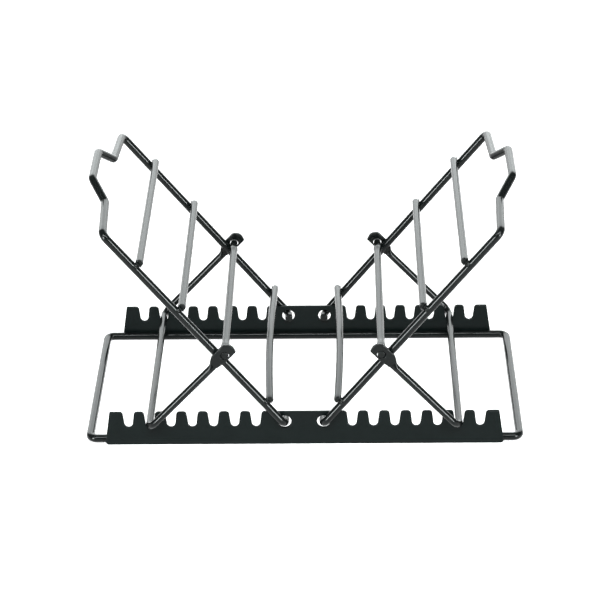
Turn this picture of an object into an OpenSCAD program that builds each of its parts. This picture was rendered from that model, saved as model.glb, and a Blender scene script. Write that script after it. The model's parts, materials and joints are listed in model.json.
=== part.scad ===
// Folding wire rack: a wire base between two notched plates, and two barred wings held up by props.
// Millimetres. X runs along the notched plates, Y from front to back and Z up.
// The origin is on the table, under the middle of the base.

/* [Wire] */
// Diameter of the wire of the base loop
base_wire_d = 5; // [4:0.1:5.5]
// Diameter of the wire of the wing frames
frame_wire_d = 5; // [4:0.1:5.2]
// Diameter of the cross bars
bar_d = 4.5; // [3.5:0.1:5]
// Diameter of the wire of the props
prop_wire_d = 4.5; // [3.5:0.1:4.6]

/* [Base loop] */
// Length of the loop, between the middles of its two end runs
base_length = 264; // [256:1:280]
// Radius of its corners, at the middle of the wire
base_corner_r = 4.5; // [3:0.5:12]

/* [Notched plates] */
// Distance over the outer faces of the two plates
plate_span = 142; // [120:1:160]
// Thickness of the sheet
plate_t = 1.5; // [1:0.1:2]
// Height of the plates
plate_h = 22.8; // [21.5:0.1:25]
// Length along the lower edge
plate_foot_l = 245.2; // [242:0.2:250]
// Length along the upper edge
plate_top_l = 237.8; // [234:0.2:240]
// Distance between notches
notch_pitch = 13; // [12:0.1:13.2]
// Notches at each end of a plate
notch_count = 7; // [6:1:7]
// Distance from the middle of the plate to the nearest notch
notch_start = 29.4; // [27:0.1:31]
// Height of the seats of the notches, where the middle of a prop's wire lies
seat_z = 14.85; // [12:0.05:16]
// Flare of each side of a notch, in degrees
notch_flare = 7; // [4:0.5:9]
// Distance from the middle of the plate to each pivot pin
pivot_x = 11.6; // [11:0.1:13.4]
// Height of the pivot pins
pivot_z = 15.4; // [10:0.1:15.9]
// Diameter of the pivot holes
pivot_hole_d = 8.2; // [8:0.1:9]
// Distance from a pivot pin up the slope of its wing to the middle of its hole, as the pins settle inwards
pivot_slack = 0.5; // [0:0.1:0.6]

/* [Wings] */
// Distance from the pivot to the shoulders at the outer end of a wing's legs
shoulder_at = 166; // [158:0.5:175]
// Rise of each shoulder towards the tab
shoulder_rise = 2.8; // [1:0.1:6]
// Distance from the pivot to the far run of the tab
tab_at = 181.75; // [178:0.25:195]
// Width of the tab along its far run
tab_w = 40; // [30:1:60]
// Width of the tab along its root
tab_root_w = 64; // [62:1:80]
// Radius of the wing frames' bends, at the middle of the wire
frame_bend_r = 4.5; // [3:0.1:6]
// Distance from the pivot to the top bar
top_bar_at = 138.5; // [130:0.5:146]
// Distance from the pivot to the upper bar
upper_bar_at = 100.5; // [90:0.5:110]
// Distance from the pivot to the hinge bar, which carries the prop
hinge_bar_at = 61.3; // [58:0.1:64]
// Distance from the pivot to the low bar
low_bar_at = 19.7; // [17:0.1:24]
// Bow of the low bar, up the wing
low_bar_bow = 2.4; // [0.5:0.1:4]

/* [Props] */
// Length of a prop, from the hinge bar to the middle of its foot
prop_length = 69.6; // [69:0.1:72]
// Notch that the props stand in, counted from the ends of the plates
rest_notch = 2; // [1:1:4]
// Radius of a prop's two corners, at the middle of the wire
prop_corner_r = 6.5; // [5:0.5:7]
// Width of the flattened eyes
eye_w = 8.9; // [8.5:0.1:10]
// Thickness of the flattened eyes
eye_t = 2.1; // [1.6:0.1:3]
// Diameter of the hole in an eye
eye_hole_d = 5.2; // [5.2:0.1:6.6]

/* [Hidden] */
$fn = 48;

coat = "#1c1f1f";
plate_coat = "#262a2a";

run_gap = 0.3;                      // gap between a wing's leg and the plate that it turns beside
weld_bite = 0.25;                   // depth to which welded wires sink into each other
plate_bite = 0.2;                   // depth to which the base wire sinks into a plate
seat_gap = 0.3;                     // gap between a prop's foot and its notch
sweep_ease = 0.01;                  // extra radius of a swept wire, which takes in the run that enters it
head_from = 150;                    // where a wing's legs pass into its shoulders and tab
head_overlap = 2;

plate_y = plate_span / 2;           // outer face of the rear plate
base_y = plate_y - plate_t - base_wire_d / 2 + plate_bite;
leg_y = plate_y + run_gap + frame_wire_d / 2;
pin_tip_y = leg_y - 7.3;            // inner end of a frame's pivot pin
eye_gap = 0.3;                      // gap between an eye and the leg that it turns beside
prop_y = leg_y + frame_wire_d / 2 + eye_gap + eye_t / 2;
short_bar_y = leg_y + 0.5;          // ends of the top and upper bars
low_bar_y = leg_y + 1.7;
hinge_bar_y = prop_y + eye_t / 2;    // the bar ends flush with the eyes
bar_lift = frame_wire_d / 2 + bar_d / 2 - weld_bite;

foot_corner_r = 2;                  // lower corners of the plates
end_corner_r = 1;                   // upper end corners of the plates
tooth_corner_r = 2.1;
seat_r = prop_wire_d / 2 + seat_gap;
arc_steps = 8;

// The wing, the prop and the plate form a triangle, which sets the wing's slope.
seat_x = notch_start + (notch_count - rest_notch) * notch_pitch;
hinge_reach = norm([hinge_bar_at, bar_lift]);
seat_reach = norm([seat_x - pivot_x, seat_z - pivot_z]);
seat_dip = atan2(pivot_z - seat_z, seat_x - pivot_x);
hinge_rise = acos((hinge_reach ^ 2 + seat_reach ^ 2 - prop_length ^ 2) / (2 * hinge_reach * seat_reach))
    - seat_dip;
wing_angle = hinge_rise - atan2(bar_lift, hinge_bar_at);
hole_x = pivot_x + pivot_slack * cos(wing_angle);
hole_z = pivot_z + pivot_slack * sin(wing_angle);
hinge_x = pivot_x + hinge_reach * cos(hinge_rise);
hinge_z = pivot_z + hinge_reach * sin(hinge_rise);
prop_angle = atan2(hinge_z - seat_z, seat_x - hinge_x);

eye_shift = 1;                      // how far the middle of an eye lies above the line of its prop
eye_far_tip = [-8, eye_shift + 0.4]; // corners of an eye, measured from the hinge bar
eye_far_low = -6.2;
eye_far_high = -4.9;
eye_near_low = 3;
eye_near_high = 6;
eye_root = 10.5;                    // where the flat part of an eye ends
eye_root_drop = 2.4;                // how much lower its upper edge is there
neck_from = 9;                      // where an eye starts to thicken
neck_w = 4;                         // width of the thickening there
neck_end = 13;                      // where the wire is round again
neck_tip_t = 0.3;                   // thickness of the two end shapes that the neck spans
neck_ease = 0.06;                   // how much smaller they are than the eye and the wire

// ---- outlines and wires ----

function unit(v) = v / norm(v);
function turned_left(v) = [-v.y, v.x];
function bend_at(a, b, c) =
    let (u = unit(b - a), v = unit(c - b))
    atan2(u.x * v.y - u.y * v.x, u * v);

// Points of the arc that rounds corner b of the path a, b, c.
function corner_arc(a, b, c, r, steps) =
    let (
        u = unit(b - a),
        bend = bend_at(a, b, c),
        side = sign(bend),
        start = b - u * r * tan(abs(bend) / 2),
        middle = start + side * r * turned_left(u),
        first = atan2(start.y - middle.y, start.x - middle.x)
    )
    [for (i = [0:steps]) middle + r * [cos(first + bend * i / steps), sin(first + bend * i / steps)]];

// Closed outline through points given as [x, y, corner radius].
function rounded(corners, steps) = [
    for (i = [0:len(corners) - 1])
    let (
        before = corners[(i + len(corners) - 1) % len(corners)],
        here = corners[i],
        after = corners[(i + 1) % len(corners)]
    )
    each corner_arc([before.x, before.y], [here.x, here.y], [after.x, after.y], here.z, steps)
];

// Wire bent in the XY plane through points given as [x, y, bend radius]. The end points have no bend.
module bent_wire(path, d) {
    spots = [for (p = path) [p.x, p.y]];
    last = len(path) - 1;
    bends = [for (i = [0:last]) i == 0 || i == last ? 0 : bend_at(spots[i - 1], spots[i], spots[i + 1])];
    cuts = [for (i = [0:last]) i == 0 || i == last ? 0 : path[i].z * tan(abs(bends[i]) / 2)];
    for (i = [0:last - 1]) {
        along = unit(spots[i + 1] - spots[i]);
        start = spots[i] + along * cuts[i];
        heading = atan2(along.y, along.x);
        translate([start.x, start.y, 0]) rotate([0, 90, heading])
            cylinder(h = norm(spots[i + 1] - spots[i]) - cuts[i] - cuts[i + 1], d = d);
        if (i + 1 < last) {
            finish = spots[i + 1] - along * cuts[i + 1];
            side = sign(bends[i + 1]);
            middle = finish + side * path[i + 1].z * turned_left(along);
            from = side > 0 ? heading - 90 : heading + 90 + bends[i + 1];
            translate([middle.x, middle.y, 0]) rotate([0, 0, from])
                rotate_extrude(angle = abs(bends[i + 1]), $fn = 96)
                    translate([path[i + 1].z, 0]) circle(d = d);
        }
    }
}

// The same as one swept solid, for bends at odd angles. Its flats lie just outside the true wire.
module swept_wire(path, d, sides, steps) {
    r = d / cos(180 / sides) / 2 + sweep_ease;
    last_corner = len(path) - 1;
    spots = [for (p = path) [p.x, p.y]];
    line = [
        spots[0],
        for (i = [1:last_corner - 1]) each corner_arc(spots[i - 1], spots[i], spots[i + 1], path[i].z, steps),
        spots[last_corner]
    ];
    last = len(line) - 1;
    rings = [
        for (i = [0:last])
        let (across = turned_left(unit(line[min(i + 1, last)] - line[max(i - 1, 0)])))
        for (k = [0:sides - 1])
        let (turn = 360 * k / sides)
        [line[i].x + r * cos(turn) * across.x, line[i].y + r * cos(turn) * across.y, r * sin(turn)]
    ];
    walls = [
        for (i = [0:last - 1], k = [0:sides - 1])
        let (next = (k + 1) % sides)
        [i * sides + k, (i + 1) * sides + k, (i + 1) * sides + next, i * sides + next]
    ];
    ends = [
        [for (k = [0:sides - 1]) k],
        [for (k = [sides - 1:-1:0]) last * sides + k]
    ];
    polyhedron(rings, concat(walls, ends));
}

// ---- base ----

module base_wire() {
    half = base_length / 2;
    color(coat) translate([0, 0, base_wire_d / 2])
        bent_wire([
            [0, -base_y, 0],
            [half, -base_y, base_corner_r],
            [half, base_y, base_corner_r],
            [-half, base_y, base_corner_r],
            [-half, -base_y, base_corner_r],
            [0, -base_y, 0]
        ], base_wire_d);
}

// Corners of one notch, from its near side to its far side: the two sides would meet at a point
// far below, and the seat is the arc between them.
function notch(x) =
    let (
        point_z = seat_z - seat_r / sin(notch_flare),
        half_mouth = (plate_h - point_z) * tan(notch_flare)
    )
    [[x + half_mouth, plate_h, tooth_corner_r], [x, point_z, seat_r], [x - half_mouth, plate_h, tooth_corner_r]];

module plate_outline() {
    places = [for (i = [0:notch_count - 1]) notch_start + i * notch_pitch];
    corners = [
        [-plate_foot_l / 2, 0, foot_corner_r],
        [plate_foot_l / 2, 0, foot_corner_r],
        [plate_top_l / 2, plate_h, end_corner_r],
        for (i = [notch_count - 1:-1:0]) each notch(places[i]),
        for (i = [0:notch_count - 1]) each notch(-places[i]),
        [-plate_top_l / 2, plate_h, end_corner_r]
    ];
    polygon(rounded(corners, arc_steps));
}

// A plate with its outer face at Y = outer_y, and its inner face on the side of the origin.
module notched_plate(outer_y) {
    color(plate_coat)
        translate([0, max(outer_y, outer_y - sign(outer_y) * plate_t), 0]) rotate([90, 0, 0])
            linear_extrude(plate_t) difference() {
                plate_outline();
                for (side = [-1, 1]) translate([side * hole_x, hole_z]) circle(d = pivot_hole_d);
            }
}

module front_plate() notched_plate(-plate_y);
module rear_plate() notched_plate(plate_y);

// ---- wings ----

// Puts a shape from the wing's own plane on the right-hand wing. There X runs up the slope from
// the pivot, and Z towards the side that the bars are on.
module on_wing() {
    color(coat) translate([pivot_x, 0, pivot_z]) rotate([0, -wing_angle, 0]) children();
}

module wing_frame() {
    head = [
        [head_from, leg_y, 0],
        [shoulder_at, leg_y, frame_bend_r],
        [shoulder_at + shoulder_rise, tab_root_w / 2, frame_bend_r],
        [tab_at, tab_w / 2, frame_bend_r]
    ];
    other_side = [for (i = [len(head) - 1:-1:0]) [head[i].x, -head[i].y, head[i].z]];
    on_wing() {
        swept_wire(concat(head, other_side), frame_wire_d, 24, 6);
        for (side = [-1, 1]) bent_wire([
            [0, side * pin_tip_y, 0],
            [0, side * leg_y, frame_bend_r],
            [head_from + head_overlap, side * leg_y, 0]
        ], frame_wire_d);
    }
}

module straight_bar(at, half_length) {
    on_wing() translate([at, 0, bar_lift]) rotate([90, 0, 0])
        cylinder(h = 2 * half_length, d = bar_d, center = true);
}

module top_bar() straight_bar(top_bar_at, short_bar_y);
module upper_bar() straight_bar(upper_bar_at, short_bar_y);
module hinge_bar() straight_bar(hinge_bar_at, hinge_bar_y);

// The low bar is an arc that meets the legs at low_bar_at and bows up the wing between them.
module low_bar() {
    bow_r = (leg_y ^ 2 + low_bar_bow ^ 2) / (2 * low_bar_bow);
    half_sweep = asin(low_bar_y / bow_r);
    on_wing() translate([low_bar_at + low_bar_bow - bow_r, 0, bar_lift]) rotate([0, 0, -half_sweep])
        rotate_extrude(angle = 2 * half_sweep, $fn = 1500) translate([bow_r, 0]) circle(d = bar_d);
}

// ---- props ----

// The flattened end of a prop, with the hole that takes the hinge bar. It stands more to one side of the
// hole than to the other.
module eye(y) {
    low = eye_shift - eye_w / 2;
    high = eye_shift + eye_w / 2;
    outline = [
        [eye_root, -prop_wire_d / 2, 1.5],
        [eye_root, high - eye_root_drop, 2],
        [eye_near_high, high, 5],
        [eye_far_high, high, 3.4],
        [eye_far_tip.x, eye_far_tip.y, 4.5],
        [eye_far_low, low, 0.6],
        [eye_near_low, low, 4]
    ];
    translate([0, y, 0]) rotate([90, 0, 0]) linear_extrude(eye_t, center = true) difference() {
        polygon(rounded(outline, arc_steps));
        circle(d = eye_hole_d);
    }
}

// Spoon-shaped neck between the flat eye and the round wire. Its ends lie just inside both.
module neck(y) {
    hull() {
        translate([neck_from, y, 0]) cube([neck_tip_t, eye_t - neck_ease, neck_w], center = true);
        translate([neck_end + neck_tip_t, y, 0]) rotate([0, 90, 0])
            cylinder(h = neck_tip_t, d = prop_wire_d - neck_ease, $fn = 32);
    }
}

module prop() {
    color(coat) translate([hinge_x, 0, hinge_z]) rotate([0, prop_angle, 0]) {
        bent_wire([
            [neck_end, prop_y, 0],
            [prop_length, prop_y, prop_corner_r],
            [prop_length, -prop_y, prop_corner_r],
            [neck_end, -prop_y, 0]
        ], prop_wire_d);
        for (y = [-prop_y, prop_y]) {
            eye(y);
            neck(y);
        }
    }
}

module mirrored() {
    mirror([1, 0, 0]) children();
}

base_wire();
front_plate();
rear_plate();
mirrored() wing_frame();  // left_frame
mirrored() top_bar();  // left_top_bar
mirrored() upper_bar();  // left_upper_bar
mirrored() hinge_bar();  // left_hinge_bar
mirrored() low_bar();  // left_low_bar
mirrored() prop();  // left_prop
wing_frame();  // right_frame
top_bar();  // right_top_bar
upper_bar();  // right_upper_bar
hinge_bar();  // right_hinge_bar
low_bar();  // right_low_bar
prop();  // right_prop
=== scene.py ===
"""Looks of the folding wire rack: every wire, plate and prop as a finished, coated piece."""
import json
import math

import bmesh
import bpy
import numpy as np
from mathutils import Matrix, Vector


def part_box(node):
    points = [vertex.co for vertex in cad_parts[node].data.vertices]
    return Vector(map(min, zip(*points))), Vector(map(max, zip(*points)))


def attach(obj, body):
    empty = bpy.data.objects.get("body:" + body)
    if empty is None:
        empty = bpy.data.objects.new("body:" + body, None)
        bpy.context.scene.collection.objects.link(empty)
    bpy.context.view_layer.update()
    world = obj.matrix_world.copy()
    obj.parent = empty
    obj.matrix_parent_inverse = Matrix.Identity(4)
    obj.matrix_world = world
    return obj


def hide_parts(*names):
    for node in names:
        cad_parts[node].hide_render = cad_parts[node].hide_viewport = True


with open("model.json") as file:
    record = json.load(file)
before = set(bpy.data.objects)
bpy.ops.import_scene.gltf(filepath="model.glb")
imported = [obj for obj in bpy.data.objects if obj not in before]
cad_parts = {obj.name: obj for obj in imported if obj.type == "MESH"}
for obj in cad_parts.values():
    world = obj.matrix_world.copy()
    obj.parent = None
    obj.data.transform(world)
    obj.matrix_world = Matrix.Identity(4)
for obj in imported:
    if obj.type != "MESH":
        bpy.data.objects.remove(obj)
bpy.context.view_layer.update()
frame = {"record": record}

MM = 0.001

# ---- sizes, in millimetres, as in the CAD ----

# wires
FRAME_R = 2.5
BASE_R = 2.5
BAR_R = 2.25
PROP_R = 2.25
FRAME_BEND_R = 4.5
BASE_BEND_R = 4.5
PROP_BEND_R = 6.5
PIN_TIP_IN = 7.3

# a wing, with places measured along its legs from the pivot
SHOULDER_AT = 166.0
SHOULDER_RISE = 2.8
TAB_AT = 181.75
TAB_W = 40.0
TAB_ROOT_W = 64.0
BARS_AT = {"top_bar": 138.5, "upper_bar": 100.5, "hinge_bar": 61.3, "low_bar": 19.7}
BAR_LIFT = 4.5
LOW_BAR_BOW = 2.4

# the plates
PLATE_TOP_L = 237.8
PLATE_FOOT_R = 2.0
PLATE_END_R = 1.0
NOTCH_START = 29.4
NOTCH_PITCH = 13.0
NOTCH_COUNT = 7
NOTCH_FLARE = math.radians(7.0)
SEAT_R = 2.55
TOOTH_R = 2.1
PIVOT_HOLE_R = 4.1
PIVOT_SLACK = 0.5

# the eyes of the props, measured from the hinge: corners are (along, across, corner radius)
EYE_T = 2.1
EYE_HOLE_R = 2.6
EYE_CORNERS = [
    (10.5, -2.25, 1.5),
    (10.5, 3.05, 2.0),
    (6.0, 5.45, 5.0),
    (-4.9, 5.45, 3.4),
    (-8.0, 1.4, 4.5),
    (-6.2, -3.45, 0.6),
    (3.0, -3.45, 4.0),
]
NECK_FROM = 9.0
NECK_END = 13.0

# ---- small shapes that only the finished pieces have, in millimetres ----

# radii of the rounded edges
PLATE_EDGE = 0.28
WIRE_EDGE = 0.55
EYE_EDGE = 0.45

# necks of the eyes: they start inside the eye, and end inside the wire
NECK_IN_EYE = 1.5
NECK_IN_WIRE = 0.5
NECK_SUNK = 0.05
NECK_FLARE = 0.35
NECK_LIFT = 0.4
NECK_SQUARENESS = 1.2

# weld necks between bars and legs
NUGGET_R = 1.75
NUGGET_FLARE = 1.0
NUGGET_REACH = 1.35

# the pressed spots of the hinge bars
PINCH_SWELL = 0.5
PINCH_FROM_LEG = 6.7
PINCH_HALF_L = 3.1

# ---- fineness of the meshes ----

SIDES = 32
ARC_STEPS = 10
PROP_ARC_STEPS = 16
LOW_BAR_POINTS = 41
NECK_RINGS = 20
EYE_HOLE_SIDES = 40
LONGEST_STEP = 4.0
LONGEST_BAR_STEP = 1.5
SMOOTH_BELOW = math.radians(38)
SEAM_GAP_M = 1e-7
ROUND_POWER = 2


def joint_place(name):
    """Where a joint of the record turns, in millimetres."""
    joint = next(j for j in frame["record"]["behaviour"]["joints"] if j["name"] == name)
    return np.array(joint["pos_m"]) / MM


def box_mm(node):
    """Low and high corners of a CAD node's box, in millimetres."""
    low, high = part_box(node)
    return np.array(low) / MM, np.array(high) / MM


# Places on the right-hand side, where the wing's legs slope by WING_ANGLE and the prop by PROP_ANGLE.
PIVOT = joint_place("right_wing_tilt")
HINGE = joint_place("right_prop_swing")
HINGE_REACH = math.hypot(HINGE[0] - PIVOT[0], HINGE[2] - PIVOT[2])
WING_ANGLE = math.atan2(HINGE[2] - PIVOT[2], HINGE[0] - PIVOT[0]) - math.asin(BAR_LIFT / HINGE_REACH)
FOOT_LOW, FOOT_HIGH = box_mm("right_prop")
SEAT = np.array([FOOT_HIGH[0] - PROP_R, 0.0, FOOT_LOW[2] + PROP_R])
PROP_LENGTH = math.hypot(SEAT[0] - HINGE[0], SEAT[2] - HINGE[2])
PROP_ANGLE = math.atan2(HINGE[2] - SEAT[2], SEAT[0] - HINGE[0])
PLATE_LOW, PLATE_HIGH = box_mm("rear_plate")
PLATE_T = PLATE_HIGH[1] - PLATE_LOW[1]
PLATE_H = PLATE_HIGH[2]
PROP_Y = FOOT_HIGH[1] - PROP_R
LEG_Y = box_mm("right_frame")[1][1] - FRAME_R


# ---- centre lines ----

def unit(v):
    return v / np.linalg.norm(v)


def corner_arc(before, here, after, radius, steps):
    """Points of the arc that rounds the corner at here, all in 2D."""
    u, v = unit(here - before), unit(after - here)
    bend = math.atan2(u[0] * v[1] - u[1] * v[0], float(u @ v))
    start = here - u * radius * math.tan(abs(bend) / 2)
    middle = start + math.copysign(radius, bend) * np.array([-u[1], u[0]])
    first = math.atan2(start[1] - middle[1], start[0] - middle[0])
    turns = first + bend * np.arange(steps + 1) / steps
    return [middle + radius * np.array([math.cos(t), math.sin(t)]) for t in turns]


def bent_line(path, steps=ARC_STEPS):
    """Open 2D line through points given as (x, y, bend radius)."""
    spots = [np.array(p[:2], float) for p in path]
    line = [spots[0]]
    for i in range(1, len(path) - 1):
        line += corner_arc(spots[i - 1], spots[i], spots[i + 1], path[i][2], steps)
    line.append(spots[-1])
    return line


def rounded(corners, steps=ARC_STEPS):
    """Closed 2D outline through corners given as (x, y, corner radius)."""
    spots = [np.array(c[:2], float) for c in corners]
    count = len(corners)
    out = []
    for i in range(count):
        out += corner_arc(spots[i - 1], spots[i], spots[(i + 1) % count], corners[i][2], steps)
    return out


def divided(line, longest=LONGEST_STEP):
    """The same line, with no step longer than longest."""
    out = [line[0]]
    for a, b in zip(line, line[1:]):
        pieces = max(1, math.ceil(np.linalg.norm(b - a) / longest))
        out += [a + (b - a) * k / pieces for k in range(1, pieces + 1)]
    return out


# ---- meshes ----

def superellipse(half_w, half_h, power, sides=SIDES):
    """Section of a wire: power 2 is round, and a higher power has flatter sides."""
    turns = 2 * math.pi * np.arange(sides) / sides
    c, s = np.cos(turns), np.sin(turns)
    return np.stack([
        half_w * np.sign(c) * np.abs(c) ** (2 / power),
        half_h * np.sign(s) * np.abs(s) ** (2 / power),
    ], axis=1)


def round_section(radius):
    """Section of a round wire."""
    return superellipse(radius, radius, ROUND_POWER)


def ring_faces(count, sides, closed=False):
    """Faces between rings of vertices that follow one another, with end caps unless closed."""
    faces = []
    for i in range(count if closed else count - 1):
        j = (i + 1) % count
        for k in range(sides):
            m = (k + 1) % sides
            faces.append((i * sides + k, i * sides + m, j * sides + m, j * sides + k))
    if not closed:
        faces.append(tuple(range(sides - 1, -1, -1)))
        faces.append(tuple((count - 1) * sides + k for k in range(sides)))
    return faces


def tube_data(line, section, closed=False):
    """Vertices and faces of a wire along a 2D line in the XY plane. section(i) gives its outline,
    as (across, up) points."""
    line = [np.array([p[0], p[1], 0.0]) for p in line]
    count = len(line)
    verts = []
    for i, p in enumerate(line):
        before = line[i - 1] if closed or i else p
        after = line[(i + 1) % count] if closed or i + 1 < count else p
        along = unit(after - p) + unit(p - before) if closed or 0 < i < count - 1 else after - before
        along = unit(along)
        across = np.array([-along[1], along[0], 0.0])
        verts += [p + a * across + np.array([0.0, 0.0, b]) for a, b in section(i)]
    return verts, ring_faces(count, len(section(0)), closed)


def with_round_ends(line, edge=WIRE_EDGE, steps=4):
    """The line with short steps at both ends, and how far each step's section is inside the wire."""
    line = [np.array(p, float) for p in line]
    first, last = unit(line[1] - line[0]), unit(line[-2] - line[-1])
    turns = np.arange(steps + 1) / steps * math.pi / 2
    places = edge * (1 - np.cos(turns))
    insets = edge * (1 - np.sin(turns))
    head = [line[0] + first * p for p in places]
    tail = [line[-1] + last * p for p in places[::-1]]
    inset = list(insets) + [0.0] * (len(line) - 2) + list(insets[::-1])
    return head + line[1:-1] + tail, inset


def wire_data(line, radius, swell=None):
    """A round wire with deburred ends. swell(point) gives extra radius."""
    line, inset = with_round_ends(line)

    def section(i):
        extra = swell(line[i]) if swell else 0.0
        return round_section(radius - inset[i] + extra)

    return tube_data(line, section)


def plate_data(outline, holes, thickness, edge, edge_steps=3):
    """A flat sheet in the XY plane, centred on Z, with rounded edges."""
    curve = bpy.data.curves.new("outline", "CURVE")
    curve.dimensions = "2D"
    curve.fill_mode = "BOTH"
    curve.extrude = thickness / 2 - edge
    curve.bevel_depth = edge
    curve.bevel_resolution = edge_steps
    curve.offset = -edge
    for loop in [outline] + holes:
        spline = curve.splines.new("POLY")
        spline.points.add(len(loop) - 1)
        for point, spot in zip(spline.points, loop):
            point.co = (spot[0], spot[1], 0, 1)
        spline.use_cyclic_u = True
    holder = bpy.data.objects.new("outline", curve)
    mesh = bpy.data.meshes.new_from_object(holder)
    verts = [np.array(v.co) for v in mesh.vertices]
    faces = [tuple(p.vertices) for p in mesh.polygons]
    bpy.data.objects.remove(holder)
    bpy.data.curves.remove(curve)
    bpy.data.meshes.remove(mesh)
    return verts, faces


def circle_loop(x, y, radius, steps=48):
    """Closed 2D outline of a hole."""
    turns = 2 * math.pi * np.arange(steps) / steps
    return [np.array([x + radius * math.cos(t), y + radius * math.sin(t)]) for t in turns]


def moved(data, matrix):
    """The same vertices and faces, moved by the matrix."""
    verts, faces = data
    return [np.array(matrix @ Vector(v)) for v in verts], faces


def merged(*parts):
    """Several sets of vertices and faces as one."""
    verts, faces = [], []
    for v, f in parts:
        faces += [tuple(k + len(verts) for k in face) for face in f]
        verts += list(v)
    return verts, faces


def mirrored_x(data):
    """The right-hand shape as the left-hand one."""
    verts, faces = data
    return [np.array([-v[0], v[1], v[2]]) for v in verts], [tuple(reversed(f)) for f in faces]


def make_piece(name, data, node, body, material):
    """A finished piece that stands for one CAD node and rides on its body."""
    verts, faces = data
    mesh = bpy.data.meshes.new(name)
    mesh.from_pydata([tuple(np.array(v) * MM) for v in verts], [], faces)
    mesh.validate()
    mesh.update()
    piece = bpy.data.objects.new(name, mesh)
    bpy.context.scene.collection.objects.link(piece)
    merge_seams(mesh)
    mesh.shade_smooth()
    mesh.set_sharp_from_angle(angle=SMOOTH_BELOW)
    mesh.materials.append(material)
    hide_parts(node)
    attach(piece, body)


def merge_seams(mesh):
    """Join vertices that lie on one another, and turn all faces outwards."""
    work = bmesh.new()
    work.from_mesh(mesh)
    bmesh.ops.remove_doubles(work, verts=work.verts, dist=SEAM_GAP_M)
    bmesh.ops.recalc_face_normals(work, faces=work.faces)
    work.to_mesh(mesh)
    work.free()


# ---- placing ----

def turned_about_y(angle, place):
    return Matrix.Translation(Vector(place)) @ Matrix.Rotation(angle, 4, "Y")


ON_WING = turned_about_y(-WING_ANGLE, PIVOT)
ON_PROP = turned_about_y(PROP_ANGLE, HINGE)
UPRIGHT = Matrix.Rotation(math.pi / 2, 4, "X")


# ---- materials ----

# noises of the coat, as (scale, detail), from broad to fine
CLOUDS = (60, 4)
GLOSS_PATCHES = (180, 5)
PEEL = (650, 2)
CHIPS = (700, 3)
GRAIN = (3200, 3)

# the clear top of the coat, and how far the roughness under it strays with the noise
COAT_ROUGH = 0.06
COAT_IOR = 1.2
NOISE_SPAN = (0.3, 0.7)
GLOSS_LESS = 0.04
GLOSS_MORE = 0.06

# raised edges: the pointiness at which rubbing starts and is full, and how much of it shows
WORN_COLOUR = (0.10, 0.105, 0.105)
WORN_EDGES = (0.53, 0.62)
WORN_SHARE = (0.0, 0.5)

# relief: how much of the grain is on the orange peel, and the height of both
GRAIN_SHARE = 0.3
RELIEF_M = 0.0001


def noise(tree, place, scale_and_detail):
    """Noise from 0 to 1 in the object's own space."""
    node = tree.nodes.new("ShaderNodeTexNoise")
    node.inputs["Scale"].default_value, node.inputs["Detail"].default_value = scale_and_detail
    tree.links.new(place, node.inputs["Vector"])
    return node.outputs["Fac"]


def mapped(tree, value, from_span, to_span):
    """The value, moved from one span to another and held inside it."""
    node = tree.nodes.new("ShaderNodeMapRange")
    node.inputs["From Min"].default_value, node.inputs["From Max"].default_value = from_span
    node.inputs["To Min"].default_value, node.inputs["To Max"].default_value = to_span
    tree.links.new(value, node.inputs["Value"])
    return node.outputs["Result"]


def mixed(tree, share, *colours):
    """A colour between the two colours, each of which is three numbers or another node's output."""
    node = tree.nodes.new("ShaderNodeMix")
    node.data_type = "RGBA"
    tree.links.new(share, node.inputs["Factor"])
    for name, colour in zip("AB", colours):
        if isinstance(colour, tuple):
            node.inputs[name].default_value = (*colour, 1)
        else:
            tree.links.new(colour, node.inputs[name])
    return node.outputs["Result"]


def computed(tree, operation, *values):
    """The result of the operation on values that are numbers or other nodes' outputs."""
    node = tree.nodes.new("ShaderNodeMath")
    node.operation = operation
    for socket, value in zip(node.inputs, values):
        if isinstance(value, float):
            socket.default_value = value
        else:
            tree.links.new(value, socket)
    return node.outputs["Value"]


def coat_colour(tree, place, dark, light):
    """Clouds of a darker and a lighter black, with raised edges rubbed a little lighter."""
    shade = mixed(tree, noise(tree, place, CLOUDS), dark, light)
    raised = tree.nodes.new("ShaderNodeNewGeometry").outputs["Pointiness"]
    rubbed = mapped(tree, raised, WORN_EDGES, WORN_SHARE)
    wear = computed(tree, "MULTIPLY", rubbed, noise(tree, place, CHIPS))
    return mixed(tree, wear, shade, WORN_COLOUR)


def coat_relief(tree, place, bump):
    """Orange peel with fine grain on it."""
    skin = computed(tree, "MULTIPLY_ADD", noise(tree, place, GRAIN), GRAIN_SHARE, noise(tree, place, PEEL))
    relief = tree.nodes.new("ShaderNodeBump")
    relief.inputs["Strength"].default_value = bump
    relief.inputs["Distance"].default_value = RELIEF_M
    tree.links.new(skin, relief.inputs["Height"])
    return relief.outputs["Normal"]


def coat_material(name, dark, light, rough, bump, coat, specular):
    """Black coat on steel, with uneven colour, gloss and relief."""
    material = bpy.data.materials.new(name)
    material.use_nodes = True
    tree = material.node_tree
    shader = tree.nodes["Principled BSDF"]
    shader.inputs["Specular IOR Level"].default_value = specular
    shader.inputs["Coat Weight"].default_value = coat
    shader.inputs["Coat Roughness"].default_value = COAT_ROUGH
    shader.inputs["Coat IOR"].default_value = COAT_IOR
    place = tree.nodes.new("ShaderNodeTexCoord").outputs["Object"]
    patches = noise(tree, place, GLOSS_PATCHES)
    gloss = mapped(tree, patches, NOISE_SPAN, (rough - GLOSS_LESS, rough + GLOSS_MORE))
    tree.links.new(coat_colour(tree, place, dark, light), shader.inputs["Base Color"])
    tree.links.new(gloss, shader.inputs["Roughness"])
    tree.links.new(coat_relief(tree, place, bump), shader.inputs["Normal"])
    return material


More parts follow.
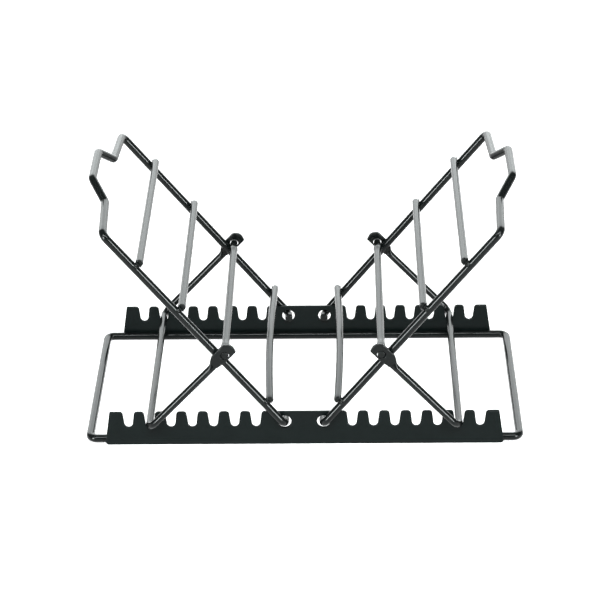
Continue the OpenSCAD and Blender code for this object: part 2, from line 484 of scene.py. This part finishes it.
wire_coat = coat_material(
    "wire_coat", dark=(0.0016, 0.0026, 0.0025), light=(0.0050, 0.0066, 0.0064),
    rough=0.2, bump=0.03, coat=0.6, specular=0.08,
)
plate_coat = coat_material(
    "plate_coat", dark=(0.0012, 0.0034, 0.0033), light=(0.0042, 0.0076, 0.0074),
    rough=0.40, bump=0.06, coat=0.12, specular=0.07,
)


# ---- base ----

def base_wire():
    """The closed loop of wire that lies on the table."""
    low, high = box_mm("base_wire")
    half_l, half_w = high[0] - BASE_R, high[1] - BASE_R
    corners = [
        (half_l, -half_w, BASE_BEND_R),
        (half_l, half_w, BASE_BEND_R),
        (-half_l, half_w, BASE_BEND_R),
        (-half_l, -half_w, BASE_BEND_R),
    ]
    loop = rounded(corners)
    line = divided(loop + [loop[0]])[:-1]
    data = tube_data(line, lambda i: round_section(BASE_R), closed=True)
    return moved(data, Matrix.Translation((0, 0, BASE_R)))


def notch(x):
    """Three corners of a plate's outline: a notch whose flared sides meet the seat's arc."""
    point_z = SEAT[2] - SEAT_R / math.sin(NOTCH_FLARE)
    half_mouth = (PLATE_H - point_z) * math.tan(NOTCH_FLARE)
    return [(x + half_mouth, PLATE_H, TOOTH_R), (x, point_z, SEAT_R), (x - half_mouth, PLATE_H, TOOTH_R)]


def plate(outer_y):
    """A notched plate whose outer face is at outer_y."""
    foot = PLATE_HIGH[0]
    places = [NOTCH_START + i * NOTCH_PITCH for i in range(NOTCH_COUNT)]
    corners = [
        (-foot, 0, PLATE_FOOT_R),
        (foot, 0, PLATE_FOOT_R),
        (PLATE_TOP_L / 2, PLATE_H, PLATE_END_R),
    ]
    for x in reversed(places):
        corners += notch(x)
    for x in places:
        corners += notch(-x)
    corners.append((-PLATE_TOP_L / 2, PLATE_H, PLATE_END_R))
    hole_x = PIVOT[0] + PIVOT_SLACK * math.cos(WING_ANGLE)
    hole_z = PIVOT[2] + PIVOT_SLACK * math.sin(WING_ANGLE)
    holes = [circle_loop(side * hole_x, hole_z, PIVOT_HOLE_R) for side in (-1, 1)]
    data = plate_data(rounded(corners), holes, PLATE_T, PLATE_EDGE)
    middle = outer_y - math.copysign(PLATE_T / 2, outer_y)
    return moved(data, Matrix.Translation((0, middle, 0)) @ UPRIGHT)


# ---- wings ----

def wing_frame():
    """The bent frame of the right wing, from one pivot pin round the tab to the other."""
    half = [
        (0, LEG_Y - PIN_TIP_IN, 0),
        (0, LEG_Y, FRAME_BEND_R),
        (SHOULDER_AT, LEG_Y, FRAME_BEND_R),
        (SHOULDER_AT + SHOULDER_RISE, TAB_ROOT_W / 2, FRAME_BEND_R),
        (TAB_AT, TAB_W / 2, FRAME_BEND_R),
    ]
    path = half + [(x, -y, r) for x, y, r in reversed(half)]
    data = wire_data(divided(bent_line(path)), FRAME_R)
    return moved(data, ON_WING)


def nugget(at, y, rings=7, sides=24):
    """The short waisted neck of metal where a bar is welded across a leg."""
    turns = 2 * math.pi * np.arange(sides) / sides
    verts = []
    for i in range(rings):
        share = 2 * i / (rings - 1) - 1
        r = NUGGET_R + NUGGET_FLARE * share ** 2
        z = FRAME_R + NUGGET_REACH * share
        verts += [np.array([at + r * math.cos(t), y + r * math.sin(t), z]) for t in turns]
    return verts, ring_faces(rings, sides)


def pinch(spot):
    """Extra radius of the hinge bar where it was pressed just inside each leg."""
    off = (abs(spot[1]) - LEG_Y + PINCH_FROM_LEG) / PINCH_HALF_L
    return PINCH_SWELL * math.exp(-off * off)


def bowed_line(at, half):
    """Centre line of the low bar: an arc that crosses the legs at the given place."""
    bow_r = (LEG_Y ** 2 + LOW_BAR_BOW ** 2) / (2 * LOW_BAR_BOW)
    sweep = math.asin(half / bow_r)
    turns = np.linspace(-sweep, sweep, LOW_BAR_POINTS)
    middle = at + LOW_BAR_BOW - bow_r
    return [np.array([middle + bow_r * math.cos(t), bow_r * math.sin(t)]) for t in turns]


def bar(kind):
    """A cross bar of the right wing, with its two welds."""
    half = box_mm("right_" + kind)[1][1]
    at = BARS_AT[kind]
    if kind == "low_bar":
        line = bowed_line(at, half)
    else:
        line = divided([np.array([at, -half]), np.array([at, half])], LONGEST_BAR_STEP)
    data = wire_data(line, BAR_R, swell=pinch if kind == "hinge_bar" else None)
    data = moved(data, Matrix.Translation((0, 0, BAR_LIFT)))
    welds = [nugget(at, side * LEG_Y) for side in (-1, 1)]
    return moved(merged(data, *welds), ON_WING)


# ---- props ----

def neck_data(y):
    """The shoulder of an eye: thin and wide inside the eye, then swelling to the round wire."""
    places = np.linspace(NECK_FROM - NECK_IN_EYE, NECK_END + NECK_IN_WIRE, NECK_RINGS)
    flat = np.clip((NECK_END - places) / (NECK_END - NECK_FROM), 0, 1)
    flat = flat * flat * (3 - 2 * flat)
    thinning = EYE_T / 2 - NECK_SUNK - PROP_R

    def section(i):
        half_t = PROP_R + thinning * flat[i]
        half_w = PROP_R + NECK_FLARE * flat[i]
        power = ROUND_POWER + NECK_SQUARENESS * flat[i]
        return superellipse(half_t, half_w, power) + np.array([0.0, NECK_LIFT * flat[i]])

    return tube_data([np.array([x, y]) for x in places], section)


def eye_data(y):
    """The flattened eye that turns on an end of the hinge bar."""
    hole = circle_loop(0, 0, EYE_HOLE_R, EYE_HOLE_SIDES)
    data = plate_data(rounded(EYE_CORNERS), [hole], EYE_T, EYE_EDGE)
    return moved(data, Matrix.Translation((0, y, 0)) @ UPRIGHT)


def prop():
    """The right prop: a bail of wire with an eye on each end."""
    path = [
        (NECK_END, PROP_Y, 0),
        (PROP_LENGTH, PROP_Y, PROP_BEND_R),
        (PROP_LENGTH, -PROP_Y, PROP_BEND_R),
        (NECK_END, -PROP_Y, 0),
    ]
    line = divided(bent_line(path, PROP_ARC_STEPS))
    parts = [tube_data(line, lambda i: round_section(PROP_R))]
    for y in (-PROP_Y, PROP_Y):
        parts += [eye_data(y), neck_data(y)]
    return moved(merged(*parts), ON_PROP)


# ---- the pieces ----

make_piece("Base_loop", base_wire(), "base_wire", "base", wire_coat)
make_piece("Plate_front", plate(-PLATE_HIGH[1]), "front_plate", "base", plate_coat)
make_piece("Plate_rear", plate(PLATE_HIGH[1]), "rear_plate", "base", plate_coat)
shapes = {"frame": (wing_frame(), "wing"), "prop": (prop(), "prop")}
for kind in BARS_AT:
    shapes[kind] = (bar(kind), "wing")
for side in ("left", "right"):
    for kind, (data, body) in shapes.items():
        shape = mirrored_x(data) if side == "left" else data
        name = f"{kind.capitalize()}_{side}"
        make_piece(name, shape, f"{side}_{kind}", f"{side}_{body}", wire_coat)


# ---- floor, light and camera, in metres ----

FLOOR_REACH = 6.0
FLOOR_COLOUR = (0.85, 0.85, 0.85)
FLOOR_GLOW = 0.65
FLOOR_ROUGH = 0.6
ROOM_STRENGTH = 0.35
COOL_WHITE = (0.95, 1.0, 1.0)
ELEVATION = math.radians(27.0)
YAW = math.radians(-1.0904)
ROLL = math.radians(0.8554)
CAMERA_PLACE = (0.02295, -1.35265, 0.75218)
LENS_MM = 145.15
SENSOR_MM = 36


def matt_material(name, colour, rough, glow):
    """A surface without gloss that glows in white."""
    material = bpy.data.materials.new(name)
    material.use_nodes = True
    shader = material.node_tree.nodes["Principled BSDF"]
    shader.inputs["Base Color"].default_value = (*colour, 1)
    shader.inputs["Roughness"].default_value = rough
    shader.inputs["Specular IOR Level"].default_value = 0.0
    shader.inputs["Emission Color"].default_value = (1, 1, 1, 1)
    shader.inputs["Emission Strength"].default_value = glow
    return material


def floor():
    """A pale floor that glows a little, as a lit sweep does."""
    mesh = bpy.data.meshes.new("Floor")
    corners = [(x * FLOOR_REACH, y * FLOOR_REACH, 0) for x, y in ((-1, -1), (1, -1), (1, 1), (-1, 1))]
    mesh.from_pydata(corners, [], [(0, 1, 2, 3)])
    sheet = bpy.data.objects.new("Floor", mesh)
    bpy.context.scene.collection.objects.link(sheet)
    mesh.materials.append(matt_material("floor_white", FLOOR_COLOUR, FLOOR_ROUGH, FLOOR_GLOW))


def area_light(name, place, target, size, radiance, lights_floor=False):
    """A flat rectangular light of that radiance, facing its target."""
    light = bpy.data.lights.new(name, "AREA")
    light.shape = "RECTANGLE"
    light.size, light.size_y = size
    light.energy = radiance * math.pi * size[0] * size[1]
    light.color = COOL_WHITE
    lamp = bpy.data.objects.new(name, light)
    lamp.location = place
    lamp.rotation_euler = (Vector(target) - Vector(place)).to_track_quat("-Z", "Y").to_euler()
    lamp.visible_camera = False
    lamp.visible_diffuse = lights_floor
    bpy.context.scene.collection.objects.link(lamp)


def lights():
    """A bright backdrop behind, three narrow lights in front that each draw a line along the wires,
    and a dim room."""
    sky = bpy.data.worlds.new("Studio")
    sky.use_nodes = True
    sky.node_tree.nodes["Background"].inputs["Color"].default_value = (1, 1, 1, 1)
    sky.node_tree.nodes["Background"].inputs["Strength"].default_value = ROOM_STRENGTH
    bpy.context.scene.world = sky
    area_light("Backdrop_upper", place=(0, 2.4, 1.65), target=(0, 0, 0.6), size=(5.0, 1.7), radiance=5.0)
    area_light("Backdrop_lower", place=(0, 2.4, 0.4), target=(0, 0, 0.3), size=(5.0, 0.8), radiance=2.4)
    area_light(
        "Top_strip", place=(0, -0.78, 1.12), target=(0, 0, 0.05), size=(1.6, 0.16),
        radiance=40.0, lights_floor=True,
    )
    for side in (-1, 1):
        area_light(
            "Side_strip", place=(side * 1.15, -1.2, 0.26), target=(0, 0, 0.08), size=(0.3, 1.0),
            radiance=68.0,
        )


def camera():
    """The camera stands in front and looks down at the rack through a long lens."""
    level = Vector((math.sin(YAW), math.cos(YAW), 0))
    forward = level * math.cos(ELEVATION) - Vector((0, 0, math.sin(ELEVATION)))
    right = Vector((math.cos(YAW), -math.sin(YAW), 0))
    down = forward.cross(right)
    x_axis = math.cos(ROLL) * right + math.sin(ROLL) * down
    y_axis = math.sin(ROLL) * right - math.cos(ROLL) * down
    lens = bpy.data.cameras.new("Camera")
    lens.lens = LENS_MM
    lens.sensor_width = SENSOR_MM
    eye = bpy.data.objects.new("Camera", lens)
    turn = Matrix((x_axis, y_axis, -forward)).transposed().to_4x4()
    eye.matrix_world = Matrix.Translation(CAMERA_PLACE) @ turn
    bpy.context.scene.collection.objects.link(eye)
    bpy.context.scene.camera = eye


floor()
lights()
camera()
bpy.context.scene.view_settings.view_transform = "Standard"
